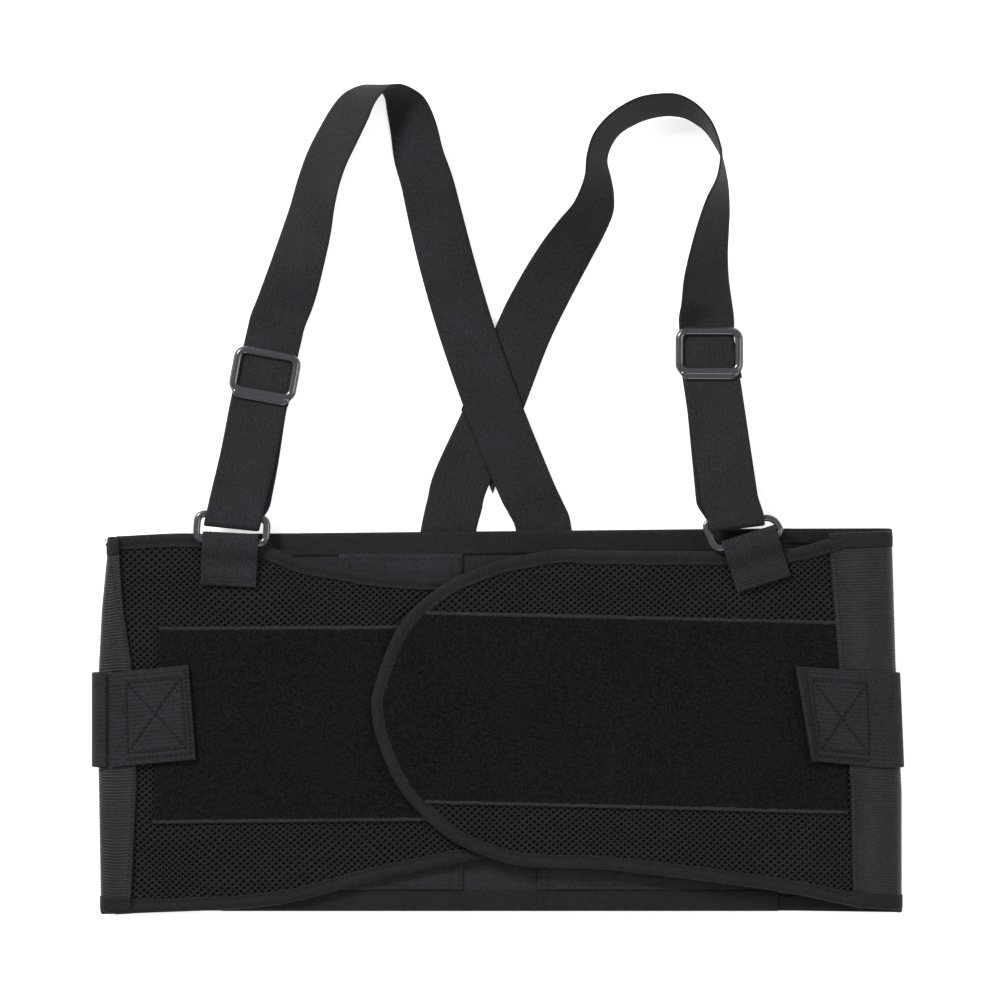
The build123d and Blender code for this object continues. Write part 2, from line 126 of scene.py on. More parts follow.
# suspenders: low edge x, y, azimuth across the strap, lean above the table, low edge z
STATIONS = {
    "left": [
        (-130.6, 228.8, -13.2, 0, 4.2), (-124, 247, -14, 16, 2.6), (-117, 267, -12, 28, 1.2),
        (-113, 279, -10, 36, 0.9), (-109, 293, -12, 39, 0.9), (-104, 307, -19, 40, 0.9),
        (-98, 319, -24, 41, 0.9), (-91, 331, -24, 44, 0.9), (-84, 339, -21, 52, 0.9),
        (-75, 343, -14, 60, 0.9), (-67, 342, -2, 64, 0.9), (-62.5, 337, 8, 57, 0.9),
        (-61, 329, 12, 43, 0.9), (-59, 317, 12, 33, 0.9), (-57, 302, 12, 26, 0.9),
        (-53, 287, 13, 20, 0.9), (-49, 268, 14, 13, 1.2), (-42, 239, 16, 5, 2.8),
        (-32, 205, 19, 0, 4.0), (-18, 165, 20, 0, 3.8), (-1, 123, 18, 0, 3.4),
        (4, 113, 13, 0, 1.7), (8, 105, 9, 0, 0.75), (9.5, 94, 5, 0, 0.75), (11, 80, 4, 0, 0.75)],
    "right": [
        (126.2, 217.4, 188.2, 0, 4.3), (125, 227, 186, 22, 2.6), (123.5, 239, 183, 34, 1.2),
        (123, 252, 179, 45, 0.9), (123.5, 264, 172, 53, 0.9), (124, 277, 167, 62, 0.9),
        (123, 290, 162, 76, 0.9), (120, 303, 150, 86, 0.9), (116, 311, -30, 87, 0.9),
        (111, 318, 10, 83, 0.9), (106, 322, 33, 79, 0.9), (99, 325.5, 47, 74, 0.9),
        (90, 326.5, 61, 68, 0.9), (81, 325, 73, 66, 0.9), (73, 322, 92, 66, 0.9),
        (65, 317, 122, 69, 0.9), (60, 310, 150, 68, 0.9), (58, 302, 172, 67, 0.9),
        (60, 293, 178, 61, 0.9), (61.5, 284, 177, 51, 0.9), (61, 274, 171, 41, 0.9),
        (56, 262, 164, 31, 0.9), (48, 247, 160, 21, 0.9), (37, 226, 158, 10, 1.3),
        (26, 203, 157, 1, 1.75), (10.5, 163, 156, 0, 1.8), (-6.5, 126, 160, 0, 1.75),
        (-9.8, 114, 169, 0, 1.1), (-12.5, 104, 178, 0, 0.75), (-14.5, 92, 180, 0, 0.75),
        (-15, 80, 180, 0, 0.75)],
}


# ---- geometry helpers --------------------------------------------------------------------
def catmull(points, steps):
    """Points on a Catmull-Rom curve through the given ones."""
    p = np.asarray(points, float)
    p = np.vstack([2 * p[0] - p[1], p, 2 * p[-1] - p[-2]])
    t = (np.arange(steps) / steps)[:, None]
    out = []
    for a, b, c, d in zip(p, p[1:], p[2:], p[3:]):
        out.append(0.5 * (2 * b + (c - a) * t + (2 * a - 5 * b + 4 * c - d) * t ** 2
                          + (3 * b - a - 3 * c + d) * t ** 3))
    return np.vstack([*out, p[-2:-1]])


def spaced(points, step):
    """The polyline's points again, a fixed step apart."""
    p = np.asarray(points, float)
    s = np.r_[0, np.cumsum(np.linalg.norm(np.diff(p, axis=0), axis=1))]
    count = max(2, int(round(s[-1] / step)) + 1)
    at = np.linspace(0, s[-1], count)
    return np.stack([np.interp(at, s, p[:, k]) for k in range(p.shape[1])], axis=1)


def unit(v):
    """The vectors scaled to length 1."""
    return v / np.maximum(np.linalg.norm(v, axis=-1, keepdims=True), 1e-9)


def smoothstep(w):
    """0 to 1, level at both ends."""
    return w * w * (3 - 2 * w)


def ribs(at, pitch, height, rows):
    """Relief of ribs that run along a cloth, for rows of the same section."""
    return height * np.cos(2 * math.pi * at / pitch)[None, :] * np.ones((rows, 1))


def make(name, verts, faces, mat, uv=None, smooth=True):
    """A mesh object from millimetre vertices, with a per-vertex UV in millimetres."""
    me = bpy.data.meshes.new(name)
    me.from_pydata((np.asarray(verts, float) * MM).tolist(), [], [tuple(f) for f in faces])
    if uv is not None:
        layer = me.uv_layers.new(name="UVMap")
        index = np.empty(len(me.loops), int)
        me.loops.foreach_get("vertex_index", index)
        layer.data.foreach_set("uv", np.asarray(uv, float)[index].ravel() * MM)
    me.materials.append(mat)
    me.polygons.foreach_set("use_smooth", [smooth] * len(me.polygons))
    me.validate()
    me.update()
    obj = bpy.data.objects.new(name, me)
    bpy.context.scene.collection.objects.link(obj)
    return obj


def grid_normals(p):
    """Unit normals of a grid of points."""
    du = np.gradient(p, axis=0)
    dv = np.gradient(p, axis=1)
    return unit(np.cross(du, dv))


def cloth(name, p, thick, mat, relief=None, round_edge=0.6, under=None, flush=(False, False),
          lining=None):
    """Closed cloth from a grid of mid-surface points: relief lifts the outer face.

    Its edges are rounded, other than a first or last row that is flush with another cloth.
    """
    nu, nv = p.shape[:2]
    n = grid_normals(p)
    su = np.r_[0, np.cumsum(np.linalg.norm(np.diff(p[:, nv // 2], axis=0), axis=1))]
    sv = np.r_[0, np.cumsum(np.linalg.norm(np.diff(p[nu // 2], axis=0), axis=1))]
    beyond = 1e3
    ends = np.minimum(su + beyond * flush[0], su[-1] - su + beyond * flush[1])
    edge = np.minimum.outer(ends, np.minimum(sv, sv[-1] - sv))
    full = np.clip(edge / max(round_edge, 1e-6), 0, 1)
    h = (thick / 2) * (0.25 + 0.75 * np.sqrt(1 - (1 - full) ** 2))[..., None]
    lift = 0 if relief is None else (relief * full)[..., None]
    sink = 0 if under is None else (under * full)[..., None]
    top, bottom = p + n * (h + lift), p - n * (h + sink)
    verts = np.vstack([top.reshape(-1, 3), bottom.reshape(-1, 3)])
    grid_uv = np.stack(np.meshgrid(su, sv, indexing="ij"), -1).reshape(-1, 2)
    i, j = np.meshgrid(np.arange(nu - 1), np.arange(nv - 1), indexing="ij")
    a = (i * nv + j).ravel()
    quad = np.stack([a, a + nv, a + nv + 1, a + 1], 1)
    count = nu * nv
    faces = [*quad.tolist(), *(quad[:, ::-1] + count).tolist()]
    rim = ([k for k in range(nv)] + [k * nv + nv - 1 for k in range(1, nu)]
           + [(nu - 1) * nv + k for k in range(nv - 2, -1, -1)]
           + [k * nv for k in range(nu - 2, 0, -1)])
    for a, b in zip(rim, rim[1:] + rim[:1]):
        faces.append((a, b, b + count, a + count))
    obj = make(name, verts, faces, mat, np.vstack([grid_uv, grid_uv]))
    if lining:
        obj.data.materials.append(lining)
        for k in range(len(quad), 2 * len(quad)):
            obj.data.polygons[k].material_index = 1
    return obj


def tube(name, path, radius, mat, sides=10, closed=False, flat=1.0, up=(0, 0, 1)):
    """Rod along a path. flat squeezes its height along up."""
    p = np.asarray(path, float)
    d = np.roll(p, -1, 0) - np.roll(p, 1, 0) if closed else np.gradient(p, axis=0)
    t = unit(d)
    out = unit(np.cross(t, np.asarray(up, float)))
    above = np.cross(out, t)
    ang = np.linspace(0, 2 * math.pi, sides, endpoint=False)
    ring = (p[:, None] + radius * (np.cos(ang)[None, :, None] * out[:, None]
                                   + flat * np.sin(ang)[None, :, None] * above[:, None]))
    n = len(p)
    faces = []
    for i in range(n if closed else n - 1):
        a, b = i * sides, ((i + 1) % n) * sides
        faces += [(a + k, a + (k + 1) % sides, b + (k + 1) % sides, b + k) for k in range(sides)]
    if not closed:
        faces += [tuple(range(sides))[::-1], tuple((n - 1) * sides + k for k in range(sides))]
    s = np.r_[0, np.cumsum(np.linalg.norm(np.diff(p, axis=0), axis=1))]
    uv = np.stack([np.repeat(s, sides), np.tile(ang * radius, n)], 1)
    return make(name, ring.reshape(-1, 3), faces, mat, uv)


def stitches(name, runs, mat, pitch=2.9, radius=0.3):
    """Lock stitches as short threads along one or more runs of points."""
    verts, faces = [], []
    fill, sink = 0.74, 0.08
    ang = np.linspace(0, 2 * math.pi, 6, endpoint=False)
    profile = [(0.0, 0.15), (0.18, 0.85), (0.5, 1.0), (0.82, 0.85), (1.0, 0.15)]
    for run in runs:
        p = spaced(run, pitch)
        for a, b in zip(p, p[1:]):
            along = b - a
            t = unit(along)
            out = unit(np.cross(t, (0, 0, 1)))
            up = np.cross(out, t)
            base = len(verts)
            for s, r in profile:
                c = a + along * (0.5 + (s - 0.5) * fill) + up * (radius * (r - 0.6) - sink)
                verts += [c + radius * r * (math.cos(k) * out + 0.8 * math.sin(k) * up)
                          for k in ang]
            for i in range(len(profile) - 1):
                q = base + 6 * i
                faces += [(q + k, q + (k + 1) % 6, q + 6 + (k + 1) % 6, q + 6 + k)
                          for k in range(6)]
            faces += [tuple(base + k for k in range(5, -1, -1)),
                      tuple(base + 24 + k for k in range(6))]
    return make(name, verts, faces, mat)


def join(name, objs):
    """One object from several, keeping their UVs."""
    for o in bpy.context.view_layer.objects:
        o.select_set(False)
    for o in objs:
        o.select_set(True)
    bpy.context.view_layer.objects.active = objs[0]
    bpy.ops.object.join()
    objs[0].name = name
    objs[0].data.name = name
    return objs[0]


def say(obj, slot, body=None, *parts):
    """Attach an object to the body that it rides and hide the CAD parts it replaces. The surface
    given as slot is not used.
    """
    if body:
        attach(obj, body)
    if parts:
        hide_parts(*parts)


def flat_grid(x0, x1, nx, y0, y1, ny):
    """x and y of a regular grid of points."""
    return np.meshgrid(np.linspace(x0, x1, nx), np.linspace(y0, y1, ny), indexing="ij")


# ---- materials ---------------------------------------------------------------------------
class Nodes:
    """Short names for building a material's nodes."""

    def __init__(self, name, **constants):
        self.mat = bpy.data.materials.new(name)
        self.mat.use_nodes = True
        self.tree = self.mat.node_tree
        self.shader = self.tree.nodes["Principled BSDF"]
        for key, value in constants.items():
            self.shader.inputs[key.replace("_", " ")].default_value = value

    def add(self, kind, **props):
        node = self.tree.nodes.new(kind)
        for key, value in props.items():
            setattr(node, key, value)
        return node

    def put(self, value, socket):
        if isinstance(value, bpy.types.NodeSocket):
            self.tree.links.new(value, socket)
        else:
            socket.default_value = value

    def math(self, op, a, b=0.0, clamp=False):
        node = self.add("ShaderNodeMath", operation=op, use_clamp=clamp)
        self.put(a, node.inputs[0])
        self.put(b, node.inputs[1])
        return node.outputs[0]

    def wave(self, axis, pitch_mm, phase=None):
        """0 to 1 along a UV axis, once in each pitch."""
        scaled = self.math("MULTIPLY", axis, 2 * math.pi / (pitch_mm * MM))
        if phase is not None:
            scaled = self.math("ADD", scaled, phase)
        return self.math("ADD", self.math("MULTIPLY", self.math("SINE", scaled), 0.5), 0.5)

    def contrast(self, value, gain):
        """The value spread away from its middle."""
        return self.math("ADD", self.math("MULTIPLY", value, gain), 0.5 - gain / 2, clamp=True)

    def uv(self):
        node = self.add("ShaderNodeUVMap", uv_map="UVMap")
        split = self.add("ShaderNodeSeparateXYZ")
        self.tree.links.new(node.outputs[0], split.inputs[0])
        return split.outputs[0], split.outputs[1]

    def noise(self, scale, detail=2.0, rough=0.5):
        coord = self.add("ShaderNodeTexCoord")
        node = self.add("ShaderNodeTexNoise")
        node.inputs["Scale"].default_value = scale
        node.inputs["Detail"].default_value = detail
        node.inputs["Roughness"].default_value = rough
        self.tree.links.new(coord.outputs["Object"], node.inputs["Vector"])
        return node.outputs[0]

    def colour(self, factor, dark, light):
        ramp = self.add("ShaderNodeValToRGB")
        ramp.color_ramp.elements[0].color = (*dark, 1)
        ramp.color_ramp.elements[1].color = (*light, 1)
        self.tree.links.new(factor, ramp.inputs[0])
        self.tree.links.new(ramp.outputs[0], self.shader.inputs["Base Color"])

    def bump(self, height, distance_mm, strength=1.0):
        node = self.add("ShaderNodeBump")
        node.inputs["Distance"].default_value = distance_mm * MM
        node.inputs["Strength"].default_value = strength
        self.tree.links.new(height, node.inputs["Height"])
        self.tree.links.new(node.outputs[0], self.shader.inputs["Normal"])


def woven(name, dark, light, warp, weft, mottled=0.35, rough=0.75, sheen=0.03, depth=0.14,
          twill=0.0, gloss=0.18):
    """Cloth woven from warp and weft threads of the given pitch in mm."""
    m = Nodes(name, Roughness=rough, Sheen_Weight=sheen, Sheen_Roughness=0.5)
    m.shader.inputs["Specular IOR Level"].default_value = gloss
    u, v = m.uv()
    slant = m.math("MULTIPLY", u, twill * 2 * math.pi / (weft * MM)) if twill else None
    a = m.wave(u, warp)
    b = m.wave(v, weft, slant)
    weave = m.math("MULTIPLY", m.math("ADD", a, b), 0.5)
    fine = m.contrast(m.noise(950, 3.0, 0.8), 3.0)
    broad = m.contrast(m.noise(32, 3.0, 0.6), 1.6)
    mix = m.math("ADD", m.math("MULTIPLY", weave, 1 - mottled),
                 m.math("ADD", m.math("MULTIPLY", fine, mottled * 0.65),
                        m.math("MULTIPLY", broad, mottled * 0.35)))
    m.colour(mix, dark, light)
    m.bump(m.math("ADD", weave, m.math("MULTIPLY", fine, 0.6)), depth)
    return m.mat


def fleece(name, dark, light):
    """Brushed loop pile."""
    m = Nodes(name, Roughness=0.95, Sheen_Weight=0.02, Sheen_Roughness=0.6)
    m.shader.inputs["Specular IOR Level"].default_value = 0.04
    tuft = m.contrast(m.noise(820, 3.0, 0.8), 3.6)
    broad = m.contrast(m.noise(24, 2.0, 0.5), 1.6)
    m.colour(m.math("ADD", m.math("MULTIPLY", tuft, 0.8), m.math("MULTIPLY", broad, 0.2)),
             dark, light)
    m.bump(tuft, 0.35)
    return m.mat


def plastic(name, base, rough=0.28):
    """Moulded plastic with a faint mottle and fine grain."""
    m = Nodes(name, Coat_Weight=0.9, Coat_Roughness=0.12)
    m.shader.inputs["Specular IOR Level"].default_value = 0.6
    spots = m.noise(600, 2.0, 0.5)
    m.colour(spots, [c * 0.8 for c in base], [c * 1.25 for c in base])
    m.put(m.math("ADD", m.math("MULTIPLY", spots, 0.12), rough), m.shader.inputs["Roughness"])
    m.bump(spots, 0.02)
    return m.mat


def grey(value):
    """The faintly violet black of dyed nylon and polyester."""
    return (value, value * 0.96, value * 1.17)


WEBBING = woven("webbing", grey(0.001), grey(0.034), 0.95, 2.2, mottled=0.82)
STRAP = woven("strap_webbing", grey(0.001), grey(0.030), 0.9, 2.4, mottled=0.86, depth=0.1)
ELASTIC = woven("woven_elastic", grey(0.001), grey(0.031), 17.0, 1.7, mottled=0.75, rough=0.5,
                depth=0.14, gloss=0.22)
CLOTH = woven("back_cloth", grey(0.003), grey(0.036), 1.1, 1.1, mottled=0.65)
BINDING = woven("binding_tape", grey(0.001), grey(0.022), 1.2, 1.3, mottled=0.75, twill=1.0)
MESH = woven("spacer_mesh", grey(0.002), grey(0.021), 0.5, 0.5, mottled=0.6, depth=0.06)
MESH_BACK = woven("mesh_back", grey(0.002), grey(0.022), 4.0, 3.5, mottled=0.2)
CORE = woven("mesh_core", grey(0.006), grey(0.018), 0.6, 0.6, sheen=0.0, gloss=0.05)
FLEECE = fleece("loop_fleece", grey(0.001), grey(0.016))
HOOK = fleece("hook_tape", grey(0.003), grey(0.010))
THREAD = woven("thread", grey(0.004), grey(0.032), 0.5, 0.5, depth=0.05)
DARK_THREAD = woven("dark_thread", grey(0.003), grey(0.019), 0.5, 0.5, depth=0.05)
SELVEDGE = woven("selvedge", grey(0.002), grey(0.040), 0.6, 0.8, mottled=0.85, rough=0.7)
SLIDER_PLASTIC = plastic("slider_plastic", grey(0.032), 0.16)
RING_PLASTIC = plastic("ring_plastic", grey(0.035), 0.22)


# ---- shape of each front panel -----------------------------------------------------------
def ripple(x, y, name):
    """Gentle unevenness of a front panel's surface, in mm."""
    k = 1.0 if name == "right" else 1.3
    return (0.28 * np.sin(x / 21 * k + 1.3) * np.cos(y / 27 + 0.4)
            + 0.18 * np.sin((x + 1.4 * y) / 15 * k))


def inset_outline(name, inset, step=1.5):
    """The panel's free edge drawn in by inset."""
    p = spaced(catmull(OUTLINE[name], 12), step)
    t = unit(np.gradient(p, axis=0))
    s = SIDES[name]["s"]
    inward = np.stack([-s * t[:, 1], s * t[:, 0]], 1)
    return p + inward * inset


def inside(poly, x, y):
    """Whether points lie in a closed polygon."""
    result = np.zeros(np.shape(x), bool)
    px, py = poly[:, 0], poly[:, 1]
    qx, qy = np.roll(px, -1), np.roll(py, -1)
    for ax, ay, bx, by in zip(px, py, qx, qy):
        cross = (ay > y) != (by > y)
        with np.errstate(divide="ignore", invalid="ignore"):
            result ^= cross & (x < (bx - ax) * (y - ay) / (by - ay) + ax)
    return result


def lap_x(name, y):
    """Where the side elastic's lap is at height y."""
    pts = np.array(LAP[name])[::-1]
    return np.interp(y, pts[:, 1], pts[:, 0])


def tip_x(name, y, inset):
    """Where the drawn-in tip of the panel is at height y."""
    p = inset_outline(name, inset)
    near = p[np.abs(p[:, 0]) < 80]
    order = np.argsort(near[:, 1])
    return np.interp(y, near[order, 1], near[order, 0])


def loop_edges(name, x):
    """Lower and upper edge of the loop patch at x."""
    if name == "right":
        return np.interp(x, [-75, 187], [-42.5, -49]), np.interp(x, [-75, 184], [60, 53.8])
    return np.interp(x, [-187, 75], [-54.5, -52]), np.interp(x, [-183, 75], [50.5, 52])


def pulled(x, y, name):
    """How far the net's cells are pulled out of line, in mm."""
    k = 0.8 if name == "right" else 1.1
    a = np.sin((x + y) / 11 * k + 0.6) * np.cos((x - y) / 31)
    b = np.sin((x - y) / 13 * k + 2.0) * np.cos((x + y) / 27)
    return 0.85 * np.stack([a + b, a - b], axis=-1)


def cell_centres(name):
    """Centres of the net's cells: the panel inside its binding, less what covers it."""
    side = SIDES[name]
    edge = inset_outline(name, BIND_W - 2.0)
    end = side["fold_x"] - side["s"] * 2
    poly = np.vstack([edge, [(end, edge[-1, 1]), (end, edge[0, 1])]])
    xs = np.arange(-212, 212, CELL_X / 2)
    ys = np.arange(-105, 105, CELL_Y / 2)
    i, j = np.meshgrid(np.arange(len(xs)), np.arange(len(ys)), indexing="ij")
    keep = (i + j) % 2 == 0
    cx, cy = xs[i[keep]], ys[j[keep]]
    ok = inside(poly, cx, cy) & (side["s"] * (lap_x(name, cy) - cx) > -3)
    low, high = loop_edges(name, cx)
    ok &= (cy < low + 2) | (cy > high - 2) | (side["s"] * (cx - side["s"] * 182) > 0)
    if name == "left":
        cover = inset_outline("right", 12)
        cover = np.vstack([cover, [(220, cover[-1, 1]), (220, cover[0, 1])]])
        ok &= ~inside(cover, cx, cy)
    return zip(cx[ok], cy[ok])


def hexagon(x, half_flat, y):
    """Six corners, with points at x and flat sides at y."""
    return np.array([(x, 0), (half_flat, y), (-half_flat, y), (-x, 0),
                     (-half_flat, -y), (half_flat, -y)])


def honeycomb(name):
    """Warp-knit face of the spacer mesh: a staggered net of small open cells."""
    cell, hole = hexagon(1.766, 0.235, CELL_Y / 2), hexagon(1.0, 0.46, 0.72)
    mid = cell * 0.42 + hole * 0.58
    verts, faces, seen, uv = [], [], {}, []
    z0 = SIDES[name]["top"]

    def shared(x, y):
        """Index of the corner at x, y, which neighbouring cells share."""
        key = (round(x, 2), round(y, 2))
        if key not in seen:
            seen[key] = len(verts)
            verts.append((x, y, z0 + float(ripple(x, y, name)) + 0.1))
            uv.append((x, y))
        return seen[key]

    for x, y in cell_centres(name):
        outer = [shared(x + a, y + b) for a, b in cell]
        base = len(verts)
        z = z0 + float(ripple(x, y, name))
        wob = rng.normal(0, 0.05, 2)
        for ring, dz in ((mid, -0.05), (hole, -0.5), (hole * 0.95, -1.2)):
            for a, b in ring:
                verts.append((x + a + wob[0], y + b + wob[1], z + dz))
                uv.append((x + a, y + b))
        for k in range(6):
            n = (k + 1) % 6
            faces.append((outer[k], outer[n], base + n, base + k))
            for row in (0, 6):
                faces.append((base + row + k, base + row + n,
                              base + row + 6 + n, base + row + 6 + k))
    verts = np.array(verts)
    verts[:, :2] += pulled(verts[:, 0], verts[:, 1], name)
    return make(f"mesh_face_{name}", verts, faces, MESH, np.array(uv))


def resampled(p, count):
    """The polyline's points again, as many as count."""
    at, old = np.linspace(0, 1, count), np.linspace(0, 1, len(p))
    return np.stack([np.interp(at, old, p[:, k]) for k in (0, 1)], 1)


def mesh_core(name):
    """Dark inner and back layers of the spacer mesh, under the open face."""
    side = SIDES[name]
    s = side["s"]
    rows, cols = 90, 150
    edge = inset_outline(name, 2.0, 1.0)
    tip = int(np.argmin(s * edge[:, 0]))
    top = resampled(spaced(edge[:tip + 1], 1.0), cols)
    low = resampled(spaced(edge[tip:][::-1], 1.0), cols)
    w = np.linspace(0, 1, rows)[None, :, None]
    xy = low[:, None] * (1 - w) + top[:, None] * w
    z = side["mesh_z"] + 0.85 + ripple(xy[..., 0], xy[..., 1], name)
    p = np.concatenate([xy, z[..., None]], -1)
    if s > 0:
        p = p[::-1]
    return cloth(f"mesh_core_{name}", p, 1.1, CORE, lining=MESH_BACK)


def panel_z(name, x, y):
    """Top of a front panel's cloth: mesh, then the side elastic on it beyond the lap."""
    side = SIDES[name]
    beyond = side["s"] * (x - lap_x(name, y))
    on = np.clip((beyond + 2.5) / 3.0, 0, 1)
    return side["top"] + ripple(x, y, name) * (1 - on) + 2.0 * smoothstep(on)


def binding(name):
    """Folded tape round the free edge, over mesh and elastic, with its stitching."""
    s = SIDES[name]["s"]
    p = spaced(catmull(OUTLINE[name], 12), 1.6)
    t = unit(np.gradient(p, axis=0))
    inward = np.stack([-s * t[:, 1], s * t[:, 0]], 1)
    # profile: distance in from the edge, height over the cloth's top; top side, edge, underside
    prof = [(7.2, -0.15), (7.2, 0.5), (6.7, 0.74), (6.1, 0.66), (5.5, 0.3), (4.9, 0.3),
            (4.2, 0.66), (2.8, 0.82), (1.2, 0.66), (0.1, 0.0), (-0.25, -0.9), (-0.1, -2.1),
            (0.6, -2.9), (2.0, -3.1), (6.9, -3.05), (7.0, -2.6), (1.2, -2.4), (0.9, -1.2),
            (1.4, -0.1)]
    n, m = len(p), len(prof)
    wobble = 0.12 * np.sin(np.arange(n) * 0.31) + 0.08 * np.sin(np.arange(n) * 0.83 + 1)
    puff = 0.1 * np.sin(np.arange(n) * 1.37) + 0.07 * np.sin(np.arange(n) * 2.3 + 2)
    verts, uv = [], []
    length = 0.0
    for i in range(n):
        length += 0 if i == 0 else np.linalg.norm(p[i] - p[i - 1])
        for k, (d, h) in enumerate(prof):
            x, y = p[i] + inward[i] * (d + (wobble[i] if d > 5 else 0))
            bump = puff[i] if 0 < k < 9 else 0
            verts.append((x, y, float(panel_z(name, x, y)) + h + bump))
            uv.append((length, d if k < 10 else -d))
    faces = []
    for i in range(n - 1):
        for k in range(m):
            q = (i * m + k, i * m + (k + 1) % m, (i + 1) * m + (k + 1) % m, (i + 1) * m + k)
            faces.append(q if s > 0 else q[::-1])
    faces += [tuple(range(m)), tuple((n - 1) * m + k for k in range(m - 1, -1, -1))]
    tape = make(f"binding_{name}", verts, faces, BINDING, np.array(uv))
    row = p + inward * 5.2
    z = np.array([float(panel_z(name, *q)) for q in row]) + 0.42
    thread = stitches(f"binding_stitch_{name}", [np.column_stack([row, z])], THREAD)
    say(tape, "binding_tape", f"{name}_panel", f"front_binding_{name}")
    say(thread, "webbing", f"{name}_panel")


def patch_tip(name, ys):
    """Tip end of the loop patch at each row, just under the binding's inner edge."""
    w = (ys - ys[0]) / (ys[-1] - ys[0])
    x = tip_x(name, ys, BIND_W - 1.0)
    for _ in range(4):
        low, high = loop_edges(name, x)
        x = tip_x(name, low + (high - low) * w, BIND_W - 1.0)
    return x


def loop_patch(name):
    """Brushed loop field with its woven selvedge lines."""
    side = SIDES[name]
    step, cols = 0.9, 270
    if name == "right":
        ys = np.linspace(-48.5, 59.5, int(108 / step))
        x0, x1 = patch_tip(name, ys), np.interp(ys, [-49, 54], [187.0, 184.0])
    else:
        ys = np.linspace(-54.5, 52.0, int(106 / step))
        x0, x1 = np.interp(ys, [-54.5, 50.5], [-187, -183.5]), patch_tip(name, ys)
    f = np.linspace(0, 1, cols)[:, None]
    x = x0[None, :] * (1 - f) + x1[None, :] * f
    low, high = loop_edges(name, x)
    w = (ys[None, :] - ys[0]) / (ys[-1] - ys[0])
    y = low + (high - low) * w
    z = side["top"] + LOOP_T / 2 + ripple(x, y, name)
    relief = rng.normal(0, 0.09, x.shape)
    p = np.stack([x, y, z], -1)
    patch = cloth(f"loop_field_{name}", p, LOOP_T - 0.15, FLEECE, relief=relief)
    edges = []
    for row, inward in ((0, 0.5), (-1, -0.5)):
        line = spaced(p[:, row], 2.0)
        wander = rng.normal(0, 0.12, (len(line), 2))
        line[:, 2] += 0.3 + wander[:, 0]
        line[:, 1] += inward + wander[:, 1]
        edges.append(tube("selvedge", line, 1.05, SELVEDGE, flat=0.55))
    rim = join(f"loop_selvedge_{name}", edges)
    say(patch, "loop_fleece", f"{name}_panel", f"loop_patch_{name}")
    say(rim, "webbing", f"{name}_panel")


def front_mesh(name):
    """Spacer mesh of a front panel: open face and dark core."""
    face, core = honeycomb(name), mesh_core(name)
    say(face, "spacer_mesh", f"{name}_panel", f"front_mesh_{name}")
    say(core, "spacer_mesh", f"{name}_panel")


# ---- side elastic and tension bands ------------------------------------------------------
def fold_path(name, outer_r, x_back, x_front, step):
    """Section of a cloth from the back round the side fold to the front, as x, z points."""
    side = SIDES[name]
    s, fx, fz = side["s"], side["fold_x"], side["fold_z"]
    ang = np.linspace(-math.pi / 2, math.pi / 2, 25)
    arc = np.stack([fx + s * outer_r * np.cos(ang), fz + outer_r * np.sin(ang)], 1)
    path = np.vstack([[(x_back, fz - outer_r)], arc, [(x_front, fz + outer_r)]])
    return spaced(path, step)


def bend(obj):
    """Bake the cloth's transform into its vertices; its points already run round the side fold."""
    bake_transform(obj)


def elastic_edges(name, x, front):
    """Bottom and top edge of the side elastic along its section from back to front."""
    side = SIDES[name]
    s = side["s"]
    back, fold = ELASTIC_Y[name]["back"], ELASTIC_Y[name]["fold"]
    away = np.clip(s * (side["fold_x"] - x) / 50, 0, 1)
    outline = np.array(OUTLINE[name], float)
    out = []
    for k, half in ((0, outline[len(outline) // 2:]), (1, outline[:len(outline) // 2])):
        half = half[np.argsort(half[:, 0])]
        edge = np.interp(x, half[:, 0], half[:, 1])
        if s > 0:
            edge = np.where(x > half[-1, 0], half[-1, 1] + (fold[k] - half[-1, 1])
                            * np.clip((x - half[-1, 0]) / 20, 0, 1), edge)
        else:
            edge = np.where(x < half[0, 0], half[0, 1] + (fold[k] - half[0, 1])
                            * np.clip((half[0, 0] - x) / 8, 0, 1), edge)
        edge += (1.7, -1.7)[k]
        behind = fold[k] * (1 - away) + back[k] * away
        out.append(np.where(front, edge, behind))
    return out


def fold_hem(name, p, top):
    """Binding over the elastic's top or bottom edge, from the back round to the lap."""
    side = SIDES[name]
    s = side["s"]
    edge = p[:, -1 if top else 0]
    n = grid_normals(p if s > 0 else p[:, ::-1])
    n = n[:, n.shape[1] // 2]
    width = np.linspace(-0.4, BIND_W - 0.2, 10)
    grid = np.zeros((len(p), len(width), 3))
    grid[..., 0] = edge[:, 0][:, None]
    grid[..., 1] = edge[:, 1][:, None] + (-1 if top else 1) * width[None, :]
    grid[..., 2] = p[:, p.shape[1] // 2, 2][:, None]
    ripples = 0.1 * np.sin(np.arange(len(p)) * 0.9)[:, None]
    outer = grid - n[:, None] * (ELASTIC_T / 2 + 0.25 + ripples)[..., None]
    flip = (s > 0) == top
    strip = cloth("hem", outer[:, ::-1] if flip else outer, 0.6, BINDING, round_edge=0.5)
    inner = grid + n[:, None] * (ELASTIC_T / 2 + 0.3)
    back = cloth("hem_inside", inner[:, ::-1] if flip else inner, 0.6, BINDING, round_edge=0.5)
    lip = tube("lip", grid[:, 0], 1.3, BINDING, sides=12, up=(0, 1, 0))
    tag = "top" if top else "bottom"
    hem = join(f"fold_hem_{tag}_{name}", [strip, back, lip])
    bend(hem)


